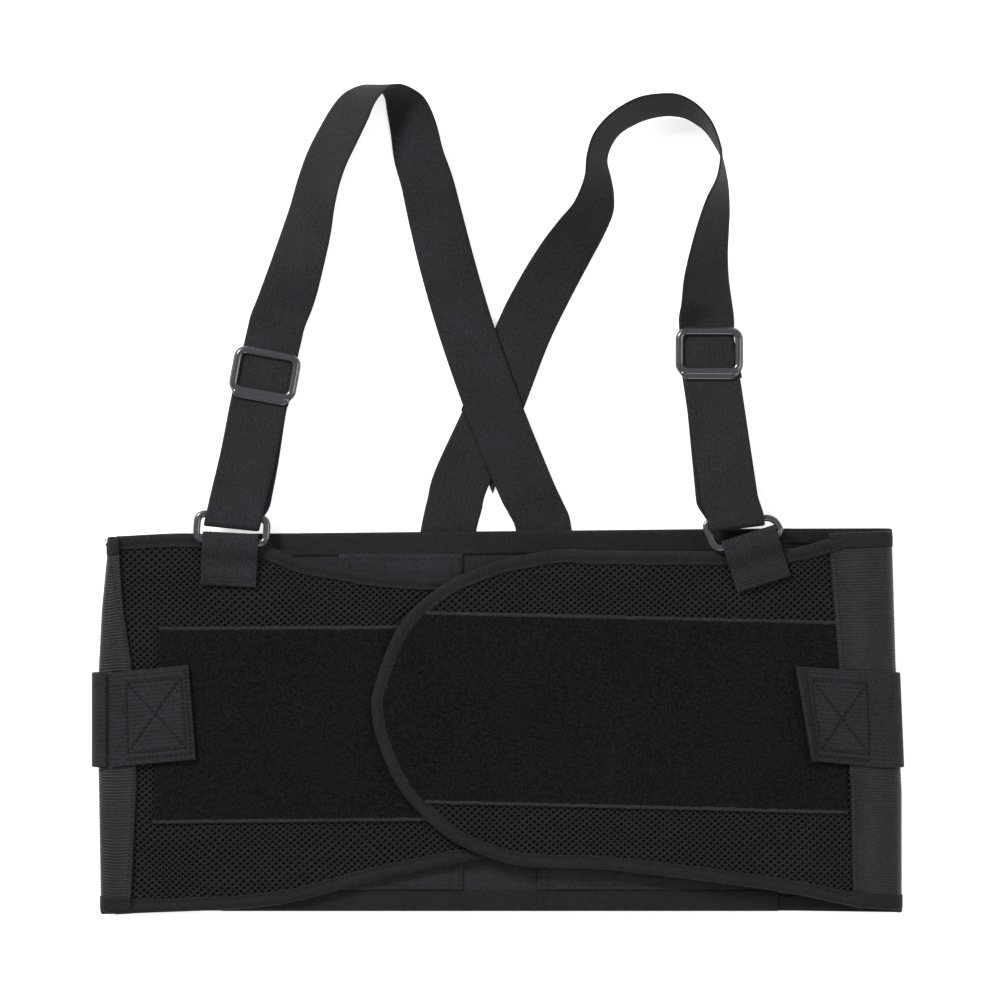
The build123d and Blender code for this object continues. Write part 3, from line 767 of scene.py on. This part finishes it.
def side_elastic(name):
    """Ribbed woven elastic from the back panel to its lap on the mesh, in one piece."""
    side = SIDES[name]
    s = side["s"]
    r = side["fold_z"] - 1.7 - ELASTIC_T / 2
    lap_mid = float(lap_x(name, 0))
    base = fold_path(name, r, s * (BACK_HALF - 1), lap_mid, 1.3)
    ys = np.arange(-103.7, 103.71, RIB / 6)
    p = np.zeros((len(base), len(ys), 3))
    p[..., 0] = base[:, 0][:, None]
    p[..., 1] = ys[None, :]
    p[..., 2] = base[:, 1][:, None]
    # the front part is as wide at each height as the lap line says, and the fold bows a little
    front = base[:, 1] > side["fold_z"]
    f = np.clip(s * (side["fold_x"] - base[:, 0]) / abs(side["fold_x"] - lap_mid), 0, 1) * front
    p[..., 0] += f[:, None] * (lap_x(name, ys) - lap_mid)[None, :]
    low, high = elastic_edges(name, p[:, len(ys) // 2, 0], front)
    w = (ys - ys[0]) / (ys[-1] - ys[0])
    p[..., 1] = low[:, None] + (high - low)[:, None] * w[None, :]
    near = np.clip(1 - np.abs(p[..., 0] - side["fold_x"]) / 30, 0, 1)
    p[..., 0] += np.interp(ys, *BOW[name])[None, :] * near
    for top in (True, False):
        fold_hem(name, p, top)
    wave = 0.2 * np.sin(ys / 8.5)[None, :] * near + 0.12 * np.sin(p[..., 0] / 3.1 + ys / 6)
    ribbing = ribs(ys, RIB, 0.13, len(base))
    o = cloth(f"side_elastic_{name}", p if s > 0 else p[:, ::-1], ELASTIC_T - 0.2, ELASTIC,
              relief=(ribbing + wave) if s > 0 else (ribbing + wave)[:, ::-1],
              under=ribbing, round_edge=0.8)
    bend(o)
    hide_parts(f"side_elastic_back_{name}", f"side_elastic_front_{name}")
    lap = catmull(LAP[name], 8)
    lap[:, 0] += s * 2.2
    z = np.full(len(lap), 2 * side["fold_z"] - 1.7 + 0.12)
    thread = stitches(f"lap_stitch_{name}", [np.column_stack([lap, z])], THREAD)
    say(thread, "webbing", f"{name}_panel")


def tension_band(name):
    """Outer band from the middle of the back, round the fold, up to where the tab peels."""
    side = SIDES[name]
    s = side["s"]
    r = side["fold_z"] - BAND_T / 2
    base = fold_path(name, r, s * 0.5, side["fold_x"] - s * (TAB_PIVOT + 0.1), 1.2)
    ys = np.linspace(BAND_Y - BAND_W / 2, BAND_Y + BAND_W / 2, 120)
    p = np.zeros((len(base), len(ys), 3))
    p[..., 0], p[..., 1], p[..., 2] = base[:, 0][:, None], ys[None, :], base[:, 1][:, None]
    near = np.clip(1 - np.abs(p[..., 0] - side["fold_x"]) / 30, 0, 1)
    p[..., 0] += (np.interp(ys, *BOW[name]) + s * BAND_OUT[name])[None, :] * near
    o = cloth(f"tension_band_{name}", p if s > 0 else p[:, ::-1], BAND_T - 0.1, WEBBING,
              relief=ribs(ys, BAND_RIB, 0.05, len(base)), round_edge=0.5)
    bend(o)
    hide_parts(f"tension_wrap_{name}", *(["tension_band"] if s < 0 else []))


def segment_distance(p, run):
    """Flat distance of every grid point from a straight run of stitching."""
    a, b = run[0, :2], run[1, :2]
    along = b - a
    t = np.clip(((p[..., :2] - a) @ along) / (along @ along), 0, 1)
    return np.linalg.norm(p[..., :2] - (a + t[..., None] * along), axis=-1)


def tension_tab(name):
    """Webbing tab with its boxed cross stitching. The frame's own hook patch is beneath."""
    side = SIDES[name]
    s = side["s"]
    x0, x1 = side["fold_x"] - s * (TAB_PIVOT + 0.1), side["fold_x"] - s * TAB_LEN
    xs = np.linspace(x0, x1, 110)
    ys = np.linspace(BAND_Y - BAND_W / 2, BAND_Y + BAND_W / 2, 140)
    p = np.zeros((len(xs), len(ys), 3))
    free = np.clip(np.abs(xs - x0) / (TAB_LEN - 2), 0, 1)
    slant, climb = {"left": (-0.08, 4.2), "right": (-0.17, 3.6)}[name]
    p[..., 0] = xs[:, None] + free[:, None] * slant * (ys - BAND_Y)[None, :]
    p[..., 1] = ys[None, :] + free[:, None] * climb
    p[..., 2] = side["tab"] + BAND_T / 2
    if name == "right":
        # its free end is bent up, with a rolled lip
        roll = 1.5 * np.exp(-((free - 0.965) / 0.03) ** 2)
        roll -= 0.25 * np.exp(-((free - 0.88) / 0.03) ** 2)
        p[..., 2] += (1.2 * np.clip((free - 0.8) / 0.2, 0, 1) + roll)[:, None]

    def at(a, b):
        """A point on the tab: a from fold to free end, b from bottom to top, each 0 to 1."""
        i = int(round(a * (len(xs) - 1)))
        j = int(round(b * (len(ys) - 1)))
        return p[i, j] + np.array([0, 0, BAND_T / 2 - 0.1])

    inner, outer = (0.9, 0.2) if name == "left" else (0.84, 0.2)
    c = [at(outer, 0.13), at(outer, 0.87), at(inner, 0.87), at(inner, 0.13)]
    ends = [(c[k], c[(k + 1) % 4]) for k in range(4)] + [(c[0], c[2]), (c[1], c[3])]
    ends += [(at(outer, 0.06), at(inner + 0.05, 0.06)),
             (at(inner + 0.05, 0.06), at(inner + 0.05, 0.94))]
    box = [np.vstack(pair) for pair in ends]
    d = np.min([segment_distance(p, run) for run in box], axis=0)
    groove = 0.16 * np.exp(-((d - 1.5) / 0.7) ** 2) - 0.42 * np.exp(-(d / 0.7) ** 2)
    relief = groove + ribs(ys, BAND_RIB, 0.05, len(xs))
    flip = slice(None, None, -1 if s > 0 else 1)
    tab = cloth(f"pull_tab_{name}", p[flip], BAND_T, WEBBING, relief=relief[flip],
                round_edge=0.7)
    thread = stitches(f"pull_tab_stitch_{name}", box, DARK_THREAD, pitch=2.4, radius=0.42)
    frame["nodes"][f"tab_hook_{name}"].material_slots[0].material = HOOK
    say(tab, "webbing", f"{name}_tab", f"tension_tab_{name}")
    say(thread, "webbing", f"{name}_tab")


# ---- straps ------------------------------------------------------------------------------
def tilted(origin, az, slope):
    """Origin, across, along and normal of a strap that runs away from the belt."""
    a, b = math.radians(az), math.radians(slope)
    across = np.array([math.cos(a), math.sin(a), 0.0])
    along = np.array([-across[1] * math.cos(b), across[0] * math.cos(b), -math.sin(b)])
    return np.asarray(origin, float), across, along, np.cross(across, along)


def strap_frame(name):
    """Frame of a strap where it folds round the ring's rod."""
    side = SIDES[name]
    z = side["pivot_z"] - RING_H * math.sin(math.radians(side["slope"]))
    return tilted((*side["start"], z), side["az"], side["slope"])


def ring_corners(name):
    """Corners of the ring: one rod in the tab's eye, the other in the strap's fold."""
    side = SIDES[name]
    turn, shift, top_turn, top_shift = RING_ASKEW[name]
    drop = RING_H * math.sin(math.radians(side["slope"]))
    rods = ((*side["pivot"], side["ring_az"] + turn, shift, side["pivot_z"]),
            (*side["start"], top_turn, top_shift, side["pivot_z"] - drop))
    out = []
    for k, (x, y, az, move, z) in enumerate(rods):
        a = math.radians(az)
        half = np.array([math.cos(a), math.sin(a), 0]) * RING_W / 2
        mid = np.array([x + move[0], y + move[1], z])
        out += [mid - half, mid + half] if k == 0 else [mid + half, mid - half]
    return np.array(out)


def rounded_polygon(corners, radius, per=8, step=1.5):
    """Closed path through 3-D corners, each rounded off."""
    pts = []
    for a, b, c in zip(np.roll(corners, 1, 0), corners, np.roll(corners, -1, 0)):
        start, end = b + unit(a - b) * radius, b + unit(c - b) * radius
        t = np.linspace(0, 1, per)[:, None]
        pts.append((1 - t) ** 2 * start + 2 * t * (1 - t) * b + t ** 2 * end)
    closed = np.vstack([*pts, pts[0][:1]])
    return spaced(closed, step)[:-1]


def drift(name, u):
    """How far the webbing sits off its axis at u, to run through the middle of the slider."""
    start, length = (25, 45) if name == "left" else (-2, 12)
    w = np.clip((u - start) / length, 0, 1)
    return SLIDER_SHIFT[name] * smoothstep(w)


def butt_u(name):
    """Where the shoulder strap meets the lower strap, hidden under the slider."""
    return SIDES[name]["slider_u"] - 11.5


def shoulder_strap(name):
    """One suspender from its slider, over the shoulder, to its sewn end on the back."""
    s = SIDES[name]["s"]
    low, high = [], []
    o, across, along, normal = strap_frame(name)
    for u in np.linspace(butt_u(name), SIDES[name]["end_u"] - 10, 6):
        c = o + along * u + normal * (EYE_R + STRAP_T / 2) + across * drift(name, u)
        low.append(c + s * across * WEB_W / 2)
        high.append(c - s * across * WEB_W / 2)
    for x, y, az, lean, z in STATIONS[name]:
        a, b = math.radians(az), math.radians(lean)
        across = np.array([math.cos(a) * math.cos(b), math.sin(a) * math.cos(b), math.sin(b)])
        low.append((x, y, z))
        high.append(np.array((x, y, z)) + across * WEB_W)
    low, high = catmull(low, 10), catmull(high, 10)
    across = unit(high - low) * WEB_W
    w = np.linspace(0, 1, 26)[None, :, None]
    p = low[:, None] + across[:, None] * w
    relief = ribs(np.linspace(0, WEB_W, 26), WEB_RIB, 0.045, len(p))
    if s < 0:
        p = p[::-1]
    # the end under the slider is flush with the lower strap
    o = cloth(f"suspender_{name}", p, STRAP_T, STRAP, relief=relief, round_edge=0.7,
              flush=(s > 0, s < 0))
    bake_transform(o)
    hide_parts(f"shoulder_strap_{name}")


def lower_strap(name):
    """Doubled strap: front layer, fold round the ring's rod and return layer."""
    side = SIDES[name]
    o, across, along, normal = strap_frame(name)
    mid = EYE_R + STRAP_T / 2
    drop = -4.3
    path = [(u, mid) for u in np.linspace(butt_u(name), 6, 50)]
    path += [(u, mid) for u in np.linspace(4, drop, 6)]
    ang = np.linspace(math.pi / 2, 3 * math.pi / 2, 11)[1:-1]
    path += [(drop + mid * math.cos(a), mid * math.sin(a)) for a in ang]
    path += [(u, -mid) for u in np.linspace(drop, 4, 6)]
    path += [(u, -mid) for u in np.linspace(6, side["slider_u"] - 4, 40)]
    path = np.array(path)
    v = np.linspace(-WEB_W / 2, WEB_W / 2, 26)
    near = smoothstep(np.clip(1 - path[:, 0] / 9, 0, 1))
    turn = math.radians(FOLD_AZ[name])
    rod = np.array([math.cos(turn), math.sin(turn), 0.0])
    fade = np.clip((path[:, 0] - 10) / 50, 0, 1)
    start = smoothstep(np.clip((path[:, 0] + 4) / 16, 0, 1))
    behind = (path[:, 1] < 0) * start * (1 - 0.8 * fade)
    p = np.zeros((len(path), len(v), 3))
    for i, (u, n) in enumerate(path):
        c = o + along * u + normal * n + across * (PEEK[name] * behind[i] + drift(name, u))
        d = unit(across * (1 - near[i]) + rod * near[i])
        p[i] = c + d[None] * v[:, None]
    strap = cloth(f"lower_strap_{name}", p[:, ::-1], STRAP_T, STRAP,
                  relief=ribs(v + WEB_W / 2, WEB_RIB, 0.045, len(p)),
                  round_edge=0.7, flush=(True, False))
    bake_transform(strap)
    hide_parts(f"strap_front_{name}", f"strap_return_{name}", f"strap_fold_{name}")


def front_tab(name):
    """Webbing folded round the ring and sewn to the front panel."""
    side = SIDES[name]
    o, across, along, normal = tilted((*side["pivot"], side["pivot_z"]), side["ring_az"], 0)
    mid = EYE_R + STRAP_T / 2
    reach = 2.1
    bottom = -mid
    path = [(u, bottom) for u in np.linspace(-23.6, reach, 24)]
    ang = np.linspace(-math.pi / 2, math.pi / 2, 11)[1:-1]
    path += [(reach + mid * math.cos(a), mid * math.sin(a)) for a in ang]
    for u in np.linspace(reach, -24.0, 36):
        w = smoothstep(np.clip((-u - 2.5) / 10, 0, 1))
        path.append((u, mid * (1 - w) + (bottom + STRAP_T) * w))
    v = np.linspace(-WEB_W / 2, WEB_W / 2, 60)
    p = np.array([[o + along * u + normal * n + across * q for q in v] for u, n in path])
    tab = cloth(f"ring_tab_{name}", p[:, ::-1], STRAP_T - 0.05, WEBBING,
                under=ribs(v + WEB_W / 2, TAB_RIB, 0.07, len(p)), round_edge=0.6)
    lift = bottom + STRAP_T * 1.5 + 0.12
    rows = [[o + along * u + normal * lift + across * q for q in (-13.2, 13.2)]
            for u in (-21.4, -19.6, -12.6)]
    sides = [[o + along * u + normal * lift + across * q for u in (-21.0, -13.0)]
             for q in (-13.2, 13.2)]
    thread = stitches(f"ring_tab_stitch_{name}", rows + sides, THREAD, pitch=2.2)
    say(tab, "webbing", f"{name}_panel", f"front_tab_{name}")
    say(thread, "webbing", f"{name}_panel")


def rounded_loop(placed, w, h, r, n0, u0, per=8):
    """Closed path of a rounded rectangle in a strap frame, n0 above it and centred at u0."""
    o, across, along, normal = placed
    pts = []
    for cx, cy, a0 in ((w / 2 - r, h / 2 - r, 0), (-w / 2 + r, h / 2 - r, 90),
                       (-w / 2 + r, -h / 2 + r, 180), (w / 2 - r, -h / 2 + r, 270)):
        for k in range(per):
            a = math.radians(a0 + 90 * k / (per - 1))
            pts.append(o + across * (cx + r * math.cos(a)) + along * (u0 + cy + r * math.sin(a))
                       + normal * n0)
    dense = []
    for a, b in zip(pts, pts[1:] + pts[:1]):
        steps = max(1, int(np.linalg.norm(b - a) / 1.5))
        dense += [a + (b - a) * k / steps for k in range(steps)]
    return np.array(dense)


def ring_piece(name):
    """Ring that joins the tab on the panel to the strap."""
    path = rounded_polygon(ring_corners(name), 4.6)
    bar = {"left": 2.0, "right": 1.8}[name]
    o = tube(f"ring_bar_{name}", path, bar, RING_PLASTIC, sides=16, closed=True, flat=0.72)
    say(o, "plastic", f"{name}_ring", f"ring_{name}")


def slider_piece(name):
    """Moulded three-bar slider: a bevelled frame over the webbing, side walls, bars below."""
    o, across, along, normal = strap_frame(name)
    turn = math.radians(SLIDER_TURN[name])
    aside, down = SLIDER_MOVE[name]
    o = o + across * (SLIDER_SHIFT[name] + aside) + along * (SIDES[name]["slider_u"] + down)
    across, along = (across * math.cos(turn) + along * math.sin(turn),
                     along * math.cos(turn) - across * math.sin(turn))
    top, up = EYE_R + STRAP_T + 1.3, tuple(normal)
    placed = (o, across, along, normal)
    parts = [tube("rim", rounded_loop(placed, 31.6, 21.8, 4.2, top, 1.1), 1.95, SLIDER_PLASTIC,
                  sides=16, closed=True, flat=0.6, up=up),
             tube("skirt", rounded_loop(placed, 32.6, 22.7, 4.6, top - 0.3, 1.0), 1.9,
                  SLIDER_PLASTIC, sides=14, closed=True, flat=0.5, up=up)]
    # cross bars, in the frame's lower end and under the webbing: u, height, radius, half length
    for u, height, r, half in ((-12.4, top - 0.1, 1.9, 14.8), (0.0, 0.0, 1.7, 16.4)):
        at = np.linspace(-half, half, 24)
        bow = 3.0 * np.clip(np.abs(at) / half - 0.84, 0, 1) / 0.16 * (u < -1)
        bar = [o + along * (u + k) + normal * height + across * q for q, k in zip(at, bow)]
        parts.append(tube("bar", bar, r, SLIDER_PLASTIC, sides=14, flat=0.5, up=up))
    for q in (-17.1, 17.1):
        for height in (0.3, 1.6):
            wall = [o + along * t + normal * height + across * q for t in np.linspace(-5, 5, 8)]
            parts.append(tube("wall", wall, 1.0, SLIDER_PLASTIC, sides=12, up=up))
    say(join(f"slider_frame_{name}", parts), "plastic", f"{name}_slider", f"slider_{name}")
    frame["nodes"][f"strap_end_{name}"].material_slots[0].material = STRAP


# ---- back panel and what shows inside it -------------------------------------------------
def rise(x, y):
    """How far the back's top edge climbs from left to right, fading towards the bottom."""
    return 0.010 * x * np.clip(y / 100, 0, 1)


def back_hem(tag, y0, y1):
    """Binding over the back's top or bottom edge, with its row of stitching."""
    x, y = flat_grid(-BACK_HALF, BACK_HALF, 240, y0, y1, 16)
    z = 4.75 + 0.1 * np.sin(x / 4.3 + y) * np.sin(x / 11)
    y = y + rise(x, y)
    inside_strip = cloth(f"hem_{tag}_in", np.stack([x, y, z], -1), 0.5, BINDING)
    outside_strip = cloth(f"hem_{tag}_out", np.stack([x, y, 1.8 + 0 * x], -1), 0.5, BINDING)
    edge_y = y1 - 0.3 if tag == "top" else y0 + 0.3
    line = np.array([(q, edge_y + rise(q, edge_y), 3.3)
                     for q in np.linspace(-BACK_HALF, BACK_HALF, 160)])
    lip = tube(f"hem_{tag}_lip", line, 1.75, BINDING, sides=12)
    hem = join(f"hem_{tag}", [inside_strip, outside_strip, lip])
    say(hem, "binding_tape", "back", f"back_hem_{tag}")
    in_y = y0 + 1.4 if tag == "top" else y1 - 1.4
    run = [np.array([(q, in_y + rise(q, in_y), 5.1)
                     for q in np.linspace(-BACK_HALF + 2, BACK_HALF - 2, 60)])]
    thread = stitches(f"hem_{tag}_stitch", run, THREAD)
    say(thread, "webbing", "back")


def stay_pocket(tag, cx):
    """Cover over a pair of stays, with the rows of stitching that hold it."""
    x, y = flat_grid(cx - 33.5, cx + 33.5, 90, -91, 90.5, 150)
    bulge = sum(np.exp(-((x - cx - d) / 7.0) ** 2) for d in (-18, 18))
    z = 5.2 + 0.25 * bulge
    cover = cloth(f"stay_pocket_{tag}", np.stack([x, y, z], -1), 1.1, CLOTH)
    runs = [np.array([(cx + d, q, 5.95) for q in (-89, 88)])
            for d in (-31.8, -27.5, -8.5, 8.5, 27.5, 31.8)]
    runs += [np.array([(cx - 32, q, 5.95), (cx + 32, q, 5.95)]) for q in (-88.5, 87.8)]
    thread = stitches(f"stay_stitch_{tag}", runs, THREAD)
    say(cover, "back_cloth", "back", f"stay_cover_{tag}")
    say(thread, "webbing", "back")


def back_cloth():
    """The back panel with its hems and stay pockets."""
    x, y = flat_grid(-BACK_HALF, BACK_HALF, 200, -100, 101, 136)
    z = 3.25 + 0.12 * np.sin(x / 17) * np.sin(y / 13)
    panel = cloth("back_cloth", np.stack([x, y + rise(x, y), z], -1), 2.4, CLOTH)
    back_hem("top", 89.9, 101.1)
    back_hem("bottom", -101.0, -91.0)
    say(panel, "back_cloth", "back", "back_panel")
    stay_pocket("left", -53.5)
    stay_pocket("right", 53.5)


# ---- build -------------------------------------------------------------------------------
back_cloth()
for name in SIDES:
    front_mesh(name)
    binding(name)
    loop_patch(name)
    side_elastic(name)
    tension_band(name)
    tension_tab(name)
    front_tab(name)
    ring_piece(name)
    lower_strap(name)
    slider_piece(name)
    shoulder_strap(name)
frame["nodes"]["closure_hook"].material_slots[0].material = HOOK
frame["nodes"]["cross_patch"].material_slots[0].material = WEBBING

# ---- stage -------------------------------------------------------------------------------
floor_mat = bpy.data.materials.new("floor")
floor_mat.use_nodes = True
for socket, value in (("Base Color", (.9, .9, .9, 1)), ("Roughness", 0.9),
                      ("Emission Color", (1, 1, 1, 1)), ("Emission Strength", 0.6)):
    floor_mat.node_tree.nodes["Principled BSDF"].inputs[socket].default_value = value
bpy.ops.mesh.primitive_plane_add(size=12, location=(0, 0.12, -0.0002))
floor = bpy.context.object
floor.name = "floor"
floor.data.materials.append(floor_mat)


def area_light(name, place, size, power, target=(0, 0.1, 0)):
    """A round soft light that points at the target."""
    data = bpy.data.lights.new(name, "AREA")
    data.shape, data.size, data.energy = "DISK", size, power
    light = bpy.data.objects.new(name, data)
    light.location = place
    to = Vector(target) - Vector(place)
    light.rotation_euler = to.to_track_quat("-Z", "Y").to_euler()
    bpy.context.scene.collection.objects.link(light)


area_light("key", (-1.4, 1.6, 1.6), 0.8, 58)
area_light("fill", (1.6, 0.3, 1.8), 1.4, 16)
area_light("front", (0.2, -1.7, 1.5), 1.2, 8)

world = bpy.data.worlds.new("studio")
bpy.context.scene.world = world
world.use_nodes = True
world.node_tree.nodes["Background"].inputs["Color"].default_value = (1, 1, 1, 1)
world.node_tree.nodes["Background"].inputs["Strength"].default_value = 0.36

CAM_HEIGHT, VIEW_WIDTH, SENSOR = 3.0, 0.54, 36.0
cam_data = bpy.data.cameras.new("camera")
cam_data.sensor_width = SENSOR
cam_data.lens = SENSOR * CAM_HEIGHT / VIEW_WIDTH
cam_data.clip_end = 50
camera = bpy.data.objects.new("camera", cam_data)
camera.location = (0.0, 0.1193, CAM_HEIGHT)
bpy.context.scene.collection.objects.link(camera)
bpy.context.scene.camera = camera
bpy.context.scene.view_settings.view_transform = "Standard"
